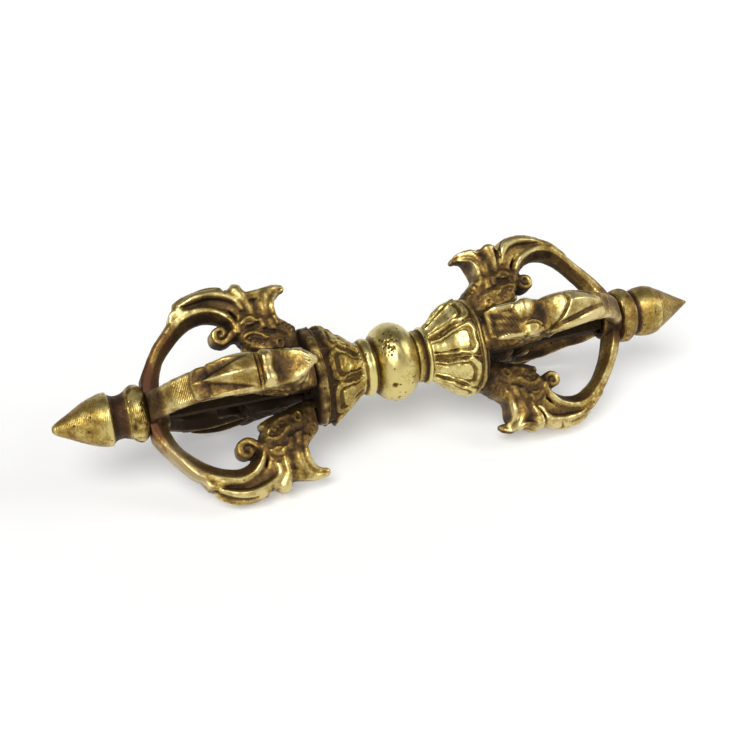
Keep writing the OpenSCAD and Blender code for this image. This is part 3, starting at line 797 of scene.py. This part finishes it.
def prong_grid(voxel):
    """Places of the voxels that a prong is modelled in: x and r in its plane, and y across it."""
    nx, nr = np.ceil((BLOCK_HIGH - BLOCK_LOW) / voxel).astype(int)
    x, r = np.meshgrid(BLOCK_LOW[0] + voxel * np.arange(nx), BLOCK_LOW[1] + voxel * np.arange(nr),
                       indexing="ij")
    half = int(BLOCK_HALF / voxel)
    return x, r, (voxel * (np.arange(2 * half) - half + 0.5))[None, None, :]


def blade(at, end):
    """Upper edge, ridge and lower edge of the spear across the prong; the right one leans."""
    start, tip = SPEAR[end]
    if end < 0:
        reach = 3.6 * (1 - np.clip((at - start) / (tip - start), 0, 1)) ** 0.95
        return reach, 0 * at, -reach
    return 3.3 - 0.26 * (at - 33), 1.2 - 0.07 * (at - 33), 0.23 * (at - 32) - 1.9


def slit(across, end):
    """Where the spear begins behind the roll: straight across on the left, round a tongue on the right."""
    if end < 0:
        return SPEAR[end][0] + 0 * across
    return np.interp(across, (-3.7, -2, -1, 0, 1, 2, 3.5), (28.2, 30.4, 31.5, 32.3, 32.8, 32.9, 32.5))


def spear(x, y, wide, end):
    """Height of the spear over the leaf: two facets that meet in a ridge, with a groove beside them."""
    high, ridge, low = (edge[:, :, None] for edge in blade(x, end))
    inside = ease(np.minimum(high - y, y - low), -0.14, 0.08)
    roof = 0.14 + 0.75 * np.clip(np.minimum((high - y) / np.maximum(high - ridge, 0.3),
                                            (y - low) / np.maximum(ridge - low, 0.3)), 0, 1)
    around = -0.28 + (0.24 * hump(np.abs(y) - wide + 0.25, 0.4) if end < 0 else
                      0.3 * ease(low - y, 0.6, 1.1) - 0.55 * ease(low - y, 1.4, 2.8))
    height = inside * roof + (1 - inside) * around
    past = x[:, :, None] - slit(y, end)
    behind = ease(past, -0.4, 0.1)
    tongue = 0.35 - 0.03 * y * y if end < 0 else 0.5 - 0.07 * (y - 0.8) ** 2
    height = behind * height + (1 - behind) * tongue - 0.5 * hump(past + 0.15, 0.5)
    tip = SPEAR[end][1]
    return height * ease(-x, -tip - 1.0, -tip + 0.2)[:, :, None]


def saddle(y, wide, end):
    """The roll is lower in its middle, a little on the right and clearly on the left."""
    if end > 0:
        return 0.16 * hump(np.abs(y) - 0.55 * wide, 0.5 * wide)
    return 0.36 * hump(np.abs(y) - 0.52 * wide, 0.5 * wide) - 0.1


def crown(x, r, y):
    """The crest of the right end: a sunk panel, then a boss with a curled lobe beside it.

    Gives its body, and how far each place lies over its top.
    """
    along, far = x[:, :1, None], r[:, :, None]
    above = np.interp(along, (17, 18.5, 20.5, 22.5, 24.5, 26.5, 28.5), (2.6, 3.0, 3.3, 3.45, 3.7, 3.6, 3.0))
    below = np.interp(along, (17, 17.8, 19, 21, 24, 27, 28.5), (1.5, 2.5, 3.2, 3.45, 3.5, 3.5, 3.0))
    wide = np.where(y > 0, above, below)
    top = np.interp(along, (17, 17.6, 18.4, 19.5, 20.5, 22, 24, 28.5),
                    (18.1, 18.9, 19.5, 19.95, 20.1, 19.9, 19.5, 19.3))
    under = np.interp(along, (17, 19, 21, 22.5, 24, 28.5), (18.4, 18.1, 17.4, 16.2, 14.5, 15.5))
    knob = ROLL[1][-1][0]
    sunk = (ease(wide - np.abs(y), 0.3, 1.0) * ease(-along, -24.2, -21.4)
            * ease(np.hypot(along - knob + BOSS_BACK, y - BOSS_Y), 2.2, 3.6))
    boss = np.clip(1 - ((along - (knob - BOSS_BACK)) / 3.0) ** 2 - ((y - BOSS_Y) / 2.6) ** 2, 0, 1) ** 0.8
    rim = np.hypot(np.maximum(along - knob - 0.6, 0), y + 2.35) - 1.8
    lobe = ease(-rim, -0.2, 0.5) * ease(along, knob - 4.6, knob + 0.6)
    curl_line = hump(rim + 0.66, 0.36) * ease(along, knob - 2.4, knob - 0.4)
    top = top - 0.26 * sunk + 0.25 * hump(along - knob, 2.4) + 1.15 * boss + 0.8 * lobe - 0.36 * curl_line
    over = far - top
    body = np.maximum(np.maximum(over, under - far), np.maximum(17 - along, along - 28.8))
    drawn_in = 0.85 * ease(-over, 0.35, 1.6)
    return rounded(body + 0.6, np.abs(y) - wide + drawn_in + 0.6) - 0.6, over


def trunk(end):
    """The strand that runs from the snout into its scroll, and the boss in the middle of the scroll."""
    scroll_x, scroll_r, scroll = SCROLL[end]
    turn, far, thick, wide = np.array(COIL).T
    turn = np.radians(turn)
    coil = np.stack([scroll_x + scroll * far * np.cos(turn), scroll_r + scroll * far * np.sin(turn),
                     scroll * thick, wide], 1)
    coil = np.vstack([[(30.0, 12.4, 1.3, 2.95), (31.0, scroll_r - 0.1, 0.9, 2.85)], coil])
    return coil, [(scroll_x + shift, scroll_r, 0.7 * scroll, 2.0) for shift in (-0.1, 0, 0.1)]


def prong_field(voxel, end):
    """The makara prong of one end as a block of voxels: how far each lies outside its skin, in mm."""
    x, r, y = prong_grid(voxel)
    flank = np.abs(y)
    relief = np.zeros_like(x)
    for line, half, height in STROKES:
        relief += height * hump(trace(flow(line), x, r)[0], half)
    for tooth_x, tooth_r in TEETH:
        relief += 0.4 * hump(np.hypot(x - tooth_x, r - tooth_r), 0.46)
    relief = (0.75 if end > 0 else 1.0) * relief[:, :, None]

    def strand(points, edge, outer=0, crest=None, bevel=0.0, ribs=()):
        """A bar along the points: edge rounds it, and crest stands on the side that outer says."""
        away, side, row, _ = trace(flow(points), x, r)
        thick, wide = row[..., 2][:, :, None], row[..., 3][:, :, None]
        height = (side * outer * away)[:, :, None]
        over = away[:, :, None] - thick
        if crest is not None:
            over = over - crest(wide) * (height > 0)
        keel = row[..., 4][:, :, None] if row.shape[-1] > 4 else None
        if keel is not None:
            over = over - keel * (height < 0)
        chased = relief
        for at, half_rib, stand in ribs:
            chased = chased + stand * hump(height / thick - at, half_rib)
        bar = rounded(over + edge, flank - wide - chased + edge) - edge
        if bevel:
            bar = np.maximum(bar, 0.72 * (flank - wide) + 0.69 * (height - thick + bevel))
        if keel is not None:
            down, across = thick + keel - 0.2, wide - 1.0
            slope = (down * (flank - wide) - across * (height + 0.2)) / np.hypot(down, across)
            bar = np.maximum(bar, np.where(keel > 0.05, slope, -1))
        return bar

    leafy = join(strand(ARCH[end], 0.35, outer=-1, bevel=0.7), strand(WEB, 0.5), 0.5)
    leaf = strand(LEAF[end], 0.7, outer=1, crest=lambda wide: spear(x, y, wide, end), ribs=LEAF_RIBS)
    leafy = join(join(leafy, leaf, 0.45), strand(LEAF_TIP[end], 0.5), 0.6)
    # the outside of the horn is a flat leaf with a fine rim
    horn = strand(HORN[end], 0.7, outer=-1, crest=lambda wide: 0.14 * hump(flank - wide + 0.35, 0.4) - 0.06,
                  ribs=HORN_RIBS)
    crest = join(strand(FAN[end], 0.7), horn, 0.8)
    if end < 0:
        crest = join(crest, strand(FLAT, 0.4), 0.7)
    roll = strand(ROLL[end], 0.8, outer=1, crest=lambda wide: saddle(y, wide, end), ribs=ROLL_RIBS)
    crest = join(crest, roll, 0.8)
    if end > 0:
        slab, over_crown = crown(x, r, y)
        crest = np.maximum(join(crest, slab, 0.5), over_crown)
    face = join(join(strand(HEAD, 1.9), strand(THROAT[end], 1.3), 0.8), strand(JAW, 0.8), 0.8)
    coil, eye = trunk(end)
    face = join(face, join(strand(coil, 0.6), strand(eye, 0.3), 0.25), 0.5)
    body = join(join(leafy, crest, 0.5), face, 1.0)
    # the slit between the nape and the seat
    body = np.maximum(body, np.minimum(NAPE[end] - x, r - 6.6)[:, :, None] + 0 * y)
    return np.clip(body, -4 * voxel, 4 * voxel).astype(np.float32)


def skinned(body, voxel):
    """Corner points, in voxels, and four-sided faces of the skin of a block, smoothed a little."""
    grid = openvdb.FloatGrid(4 * voxel)
    grid.copyFromArray(body)
    spots, quads = grid.convertToQuads(0.0)
    spots, quads = np.asarray(spots, float), np.asarray(quads, int)
    edges = np.vstack([quads[:, [0, 1]], quads[:, [1, 2]], quads[:, [2, 3]], quads[:, [3, 0]]])
    count = np.bincount(edges.ravel(), minlength=len(spots))[:, None]
    for _ in range(3):
        total = np.stack([np.bincount(edges[:, 0], spots[edges[:, 1], k], len(spots))
                          + np.bincount(edges[:, 1], spots[edges[:, 0], k], len(spots)) for k in range(3)], 1)
        spots = 0.45 * spots + 0.55 * total / count
    return spots, quads


def prong_marks(points, facing, close, broad, end):
    """Where a prong is brown, copper-red and cut by the graver.

    close and broad say how much metal stands round each point, near it and further off.
    """
    px, py, pr = points.T
    skin = SKIN[end]
    tip = SPEAR[end][1]
    scroll_x, scroll_r, scroll = SCROLL[end]
    sideways = np.abs(facing[:, 1])
    lengthways = ease(1 - sideways, 0.3, 0.6)
    inward = ease(-facing[:, 2], 0.1, 0.8)
    outward = ease(facing[:, 2], 0.25, 0.6)
    head = ease(-pr, -16.5, -12.5) * ease(-px, -33.5, -30.5) * (0.35 + 0.65 * sideways)
    arch_away = trace(flow(ARCH[end][:6]), px[:, None], pr[:, None])[0][:, 0]
    plain = ease(px, 41.5, 43.5) * ease(-arch_away, -1.75, -1.2)
    plain = plain * (sideways if end < 0 else 0.4 + 0.6 * sideways)
    sunk = ease(3.15 - np.abs(py), 0.1, 0.35) * sideways * ease(pr, 14.5, 16) * ease(-px, -42.5, -41)
    curled = ease(-np.hypot(px - scroll_x, pr - scroll_r), -scroll - 0.5, -scroll)
    valley = hump(px - skin["valley_x"], 1.7) * ease(pr, 16.5, 18.5)
    nape = ease(-px, -21, -19) * ease(-pr, -14.5, -13.5)
    foot = ease(px, 48.8, 49.9)
    high, _, low = blade(px, end)
    beside = outward * ease(px - slit(py, end), 0, 0.6) * ease(-px, -tip - 0.6, -tip)
    beside = beside * ease(np.maximum(py - high, low - py), -0.05, 0.25)
    beside = beside * (ease(-np.abs(py), -3.3, -2.9) if end < 0 else ease(py - low, -1.2, -0.8))
    # metal close round a point leaves patina in its hollows; the broad term darkens deep places further,
    # partly patina and partly painted shade
    patina = (0.38 + 2.0 * np.maximum(close, -0.09) + 0.7 * broad + 0.33 * head + skin["plain"] * plain
              + skin["valley"] * valley + 0.16 * sunk + 0.24 * curled + 0.25 * ease(-pr, -7.5, -4.5)
              - 0.08 * ease(facing[:, 2], 0.5, 0.9) + 0.34 * nape + skin["foot"] * foot)
    if end > 0:
        # the graver's cuts fill the sunk panel of the crest
        boss_away = np.hypot(px - ROLL[end][-1][0] + BOSS_BACK, py - BOSS_Y)
        hatch = (outward * ease(pr, 17.5, 18.5) * ease(px, 17.8, 18.8) * ease(-px, -24.4, -21.4)
                 * ease(-py, -2.6, -1.9) * ease(py, -3.2, -2.6) * ease(boss_away, 2.2, 3.4)
                 * np.clip(0.85 + hand(points, SEED + 80, 0.3, 1.6), 0.3, 1.3))
        beside_horn = hump(px - 24.2, 1.0) * ease(pr, 14.5, 16.5) * sideways
        end_face = ease(-px, -19.6, -18.4) * ease(pr, 16, 17)
        patina = (patina + 0.5 * hatch + 0.3 * outward * ease(px, 40.5, 42.5) + 0.3 * beside_horn
                  + 0.5 * end_face)
        bow = 0 * px
        run = 0.95 * px + 0.3 * py
    else:
        # the graver's cuts follow the outside of the horn
        horn_away, horn_side, horn_row, horn_near = trace(flow(HORN[end]), px[:, None], pr[:, None])
        hatch = ease(-(horn_away[:, 0] - horn_row[:, 0, 2]), -0.5, -0.1) * (horn_side[:, 0] < 0)
        hatch = hatch * ease(pr, 17, 18.5) * lengthways
        patina = (patina + 0.3 * outward * hump(px - 32.0, 1.1) * ease(pr, 17.5, 19)
                  + 0.16 * hump(np.hypot(px - 42.5, pr - 17.9), 1.8))
        bow = 1.2 * hump(px - 43.2, 1.6) * ease(pr, 15.2, 16.8) * np.clip(1 - (py / 3) ** 2, 0, 1)
        run = horn_near * 0.08 * 0.8 + 0.6 * py
    near_collar = ease(px, 43.6, 44.4) * ease(-px, -48.5, -47.0) * lengthways * (1 - inward)
    return {"patina": patina, "inward": inward, "beside": beside, "rough": np.maximum(head, sunk), "bow": bow,
            "copper": 0.7 * plain + 0.2 * ease(px, 48.5, 50.5) + 0.2 * head,
            "graver": skin["cuts"] * hatch + skin["collar_cuts"] * near_collar,
            "graver_run": np.where(px > 40, px * 0.8 - pr * 0.6, run)}


def prong_shape(voxel, end):
    """The makara prong that the four of one end follow: places (x, y, r), faces, facing and marks."""
    body = prong_field(voxel, end)
    spots, quads = skinned(body, voxel)
    metal = (body < 0).astype(np.float32)
    close, broad = (read(soften(metal, max(1, round(reach / voxel))), spots) - 0.5 for reach in (0.55, 1.7))
    middle = (body.shape[2] - 1) / 2
    points = np.stack([BLOCK_LOW[0] + voxel * spots[:, 0], voxel * (spots[:, 2] - middle),
                       BLOCK_LOW[1] + voxel * spots[:, 1]], 1)
    if inside_out(points, quads):
        quads = quads[:, ::-1]
    facing = normals_of(points, quads)
    return points, quads, facing, prong_marks(points, facing, close, broad, end)


def worn_flat(value, limit):
    """Holds a place inside the square that the prongs are worn to, with a soft edge."""
    over = np.abs(value) - (limit - 0.3)
    held = limit - 0.3 * np.exp(-np.maximum(over, 0) / 0.3)
    return np.where(over > 0, np.sign(value) * held, value)


# How each prong differs from the pattern of its end. In mm: horn and roll are how far these lie along the
# axis from it, dip is how deep the crest falls between them and sag how far the arch is bent in. As shares:
# pinch is how much narrower the tip of the horn is, inside the brown skin on the faces turned in under the
# arch, partly patina and partly painted shade, and for the lower back prongs a share of painted shade on the
# faces turned in and to one side, which lie in shadow near the table, rub how much more the arch is rubbed
# bright and flush how copper-red it is.
HABIT = {"right_upper_front": {"horn": -2.0, "roll": -1.7, "inside": 0.42},
         "right_upper_back": {"horn": 0.6, "roll": 0.8, "inside": 0.42, "pinch": 0.5, "dip": 0.6, "sag": 0.9},
         "right_lower_front": {"horn": 1.8, "roll": 2.0, "inside": 0.38, "pinch": 0.6, "dip": 0.7},
         "right_lower_back": {"horn": 0.6, "roll": 0.5, "inside": 0.42, "pinch": 0.4, "dip": 0.5,
                              "painted_shade": 0.16},
         "left_upper_front": {"horn": 0.9, "roll": 1.0, "inside": 0.42},
         "left_upper_back": {"horn": -0.5, "roll": -0.3, "inside": 0.5, "rub": -0.1, "flush": 0.5},
         "left_lower_front": {"horn": -1.0, "roll": -1.3, "inside": 0.2, "rub": 0.38, "flush": 1.2},
         "left_lower_back": {"horn": -0.3, "roll": 0.2, "inside": 0.45, "painted_shade": 0.45}}
NO_HABIT = {"pinch": 0.0, "dip": 0.0, "sag": 0.0, "painted_shade": 0.0, "rub": 0.0, "flush": 0.0}
# how far each prong of an end is turned about the axis from straight up, in degrees
TURNS = {"upper_front": 45, "upper_back": -45, "lower_front": 135, "lower_back": 225}


def make_prongs():
    """Eight prongs, four of each end's pattern, each a little off it as hand-worked casts are."""
    voxel = 0.155
    number = 0
    for side, word in ENDS:
        points, quads, facing, marks = prong_shape(voxel, side)
        inward, beside, rough, bow = (marks.pop(key) for key in ("inward", "beside", "rough", "bow"))
        faces = quads if side > 0 else quads[:, ::-1]
        along, across, far = points.T
        knob = ROLL[side][-1][0]
        free = ease(along, SEAT_END + 0.5, SEAT_END + 3) * ease(-along, -BEAD_START, -BEAD_START + 3)
        high = ease(far, 15, 18.5)
        horn = ease(-along, -23.5, -19) * high
        roll = hump(along - knob, 4.2) * high
        gap = hump(along - knob + 2.0, 1.5) * high
        bend = hump(along - 46.5, 5.5) * free
        arch = ease(along, 42.5, 44.5)
        # faces turned in or to one side: the lower back prongs get painted shade there, as they lie in shadow
        # near the table
        shaded_faces = 0.3 + 0.7 * np.clip(inward + ease(facing[:, 1], 0, 0.5), 0, 1)
        for place, turn in TURNS.items():
            number += 1
            seed = SEED + 100 + 10 * number
            in_front = place == "upper_front"
            habit = {**NO_HABIT, **HABIT[f"{word}_{place}"]}
            off = np.stack([hand(points, seed + k, 0.15, 11.0) for k in range(3)], 1) * free[:, None]
            off[:, 0] += habit["horn"] * horn + habit["roll"] * roll + (bow if in_front else 0)
            off[:, 1] -= habit["pinch"] * across * horn
            off[:, 2] -= habit["dip"] * gap + habit["sag"] * bend
            lift = hand(points, seed + 4, 0.02, 3.0)
            lift += hand(points, seed + 5, 1.0, 1.3) * (0.01 + 0.03 * rough)
            p = points + off + facing * lift[:, None]
            angle = math.radians(turn)
            where = np.stack([side * p[:, 0], p[:, 1] * math.cos(angle) - p[:, 2] * math.sin(angle),
                              p[:, 1] * math.sin(angle) + p[:, 2] * math.cos(angle)], 1)
            where[:, 0] = np.clip(where[:, 0], -BEAD_START, BEAD_START)
            where[:, 1:] = worn_flat(where[:, 1:], -REST)
            # painted shade on the faces in shadow, and patina with painted shade on the inner faces, over the
            # marked patina
            shade = marks["patina"] + habit["painted_shade"] * shaded_faces + habit["inside"] * inward
            shade += 0.5 * habit["dip"] * gap
            shade += hand(points, seed + 6, 0.09, 9.0) + (0.04 if side < 0 else 0.0)
            shade += (0.4 if in_front else 0.1) * beside - habit["rub"] * arch
            red = marks["copper"] + habit["flush"] * arch
            own = {**marks, "patina": shade, "copper": red}
            piece = make(f"cast_{word}_{place}_makara", where, faces, own, CAST_BRASS)
            hand_over(piece, f"{word}_{place}_prong")


# Studio

def make_floor():
    """A wide white table that takes the soft shadow of the sceptre."""
    size = 3.0
    mesh = bpy.data.meshes.new("table")
    corners = [(-size, -size), (size, -size), (size, size), (-size, size)]
    mesh.from_pydata([(x, y, TABLE) for x, y in corners], [], [(0, 1, 2, 3)])
    # matt white card: clean white to the eye, with a pale shadow
    card = bpy.data.materials.new("matt_white_card")
    tree = blank_tree(card)
    path = put(tree, "ShaderNodeLightPath").outputs
    seen = calc(tree, "MAXIMUM", path["Is Camera Ray"], path["Is Glossy Ray"])
    seen = calc(tree, "MAXIMUM", seen, path["Is Transmission Ray"])
    matt = put(tree, "ShaderNodeBsdfDiffuse", {"Color": linear("#fdfdfc")})
    white = put(tree, "ShaderNodeEmission", {"Color": (1, 1, 1, 1), "Strength": 1.0})
    both = put(tree, "ShaderNodeMixShader", {0: calc(tree, "MULTIPLY", seen, 0.3), 1: matt.outputs[0],
                                             2: white.outputs[0]})
    put(tree, "ShaderNodeOutputMaterial", {"Surface": both.outputs[0]})
    mesh.materials.append(card)
    floor = bpy.data.objects.new("table", mesh)
    bpy.context.scene.collection.objects.link(floor)


def hang(lamp, place):
    """Hangs a lamp at a place, in metres, aimed at the sceptre."""
    stand = bpy.data.objects.new(lamp.name, lamp)
    stand.location = place
    stand.rotation_euler = (-Vector(place)).to_track_quat("-Z", "Y").to_euler()
    bpy.context.scene.collection.objects.link(stand)


def light_studio():
    """White near the table, a greyer ceiling, a wide panel overhead and a soft box at the side."""
    world = bpy.data.worlds.new("studio")
    tree = blank_tree(world)
    way = put(tree, "ShaderNodeTexCoord").outputs["Generated"]
    up = put(tree, "ShaderNodeSeparateXYZ", {0: way}).outputs["Z"]
    sky = colours(tree, up, (0.1, "#f2f2f2"), (0.75, "#5a5854"))
    seen = put(tree, "ShaderNodeLightPath").outputs["Is Camera Ray"]
    shown = mixed(tree, seen, sky, (1, 1, 1, 1))
    back = put(tree, "ShaderNodeBackground", {"Color": shown, "Strength": 1.0})
    put(tree, "ShaderNodeOutputWorld", {"Surface": back.outputs[0]})
    bpy.context.scene.world = world
    # from far away, as even over the table as a lit ceiling panel
    panel = bpy.data.lights.new("overhead_panel", "SUN")
    panel.angle, panel.energy = math.radians(38), 2.55
    hang(panel, (-0.45, -0.62, 1.0))
    box = bpy.data.lights.new("side_box", "AREA")
    box.shape, box.size, box.energy = "SQUARE", 0.55, 5.0
    hang(box, (1.0, -0.35, 0.75))


def set_camera():
    """The camera of the photograph: where it stood, its lens and the small offset of its frame."""
    # in pixels: the width of the picture, the focal length and where the middle of the hub lies
    picture, focal, middle = 750, 1365.3, (391.2, 361.7)
    # from the middle of the hub: mm away, turned to the left and raised
    distance, sweep, lift = 284.4, math.radians(20.25), math.radians(33.44)
    sensor = 36
    lens = bpy.data.cameras.new("camera")
    lens.sensor_width = sensor
    lens.lens = sensor * focal / picture
    lens.shift_x = (picture / 2 - middle[0]) / picture
    lens.shift_y = (middle[1] - picture / 2) / picture
    lens.clip_start = 0.01
    camera = bpy.data.objects.new("camera", lens)
    place = Vector((-math.sin(sweep) * math.cos(lift), -math.cos(sweep) * math.cos(lift), math.sin(lift)))
    camera.location = place * distance * MM
    camera.rotation_euler = (-place).to_track_quat("-Z", "Y").to_euler()
    bpy.context.scene.collection.objects.link(camera)
    bpy.context.scene.camera = camera


set_camera()
light_studio()
make_floor()
make_ball()
petals, petal_keys = petal_ring_tree()
for which, label in ENDS:
    make_rings(which, label)
    make_lotus(which, label, petals, petal_keys)
    make_seat(which, label)
    make_collar(which, label)
    make_tip(which, label)
make_prongs()
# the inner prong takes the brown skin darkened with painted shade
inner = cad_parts["core_spindle"]
inner.data.materials.clear()
inner.data.materials.append(CORE_BRASS_AND_SHADE)

bpy.context.scene.view_settings.view_transform = "Standard"
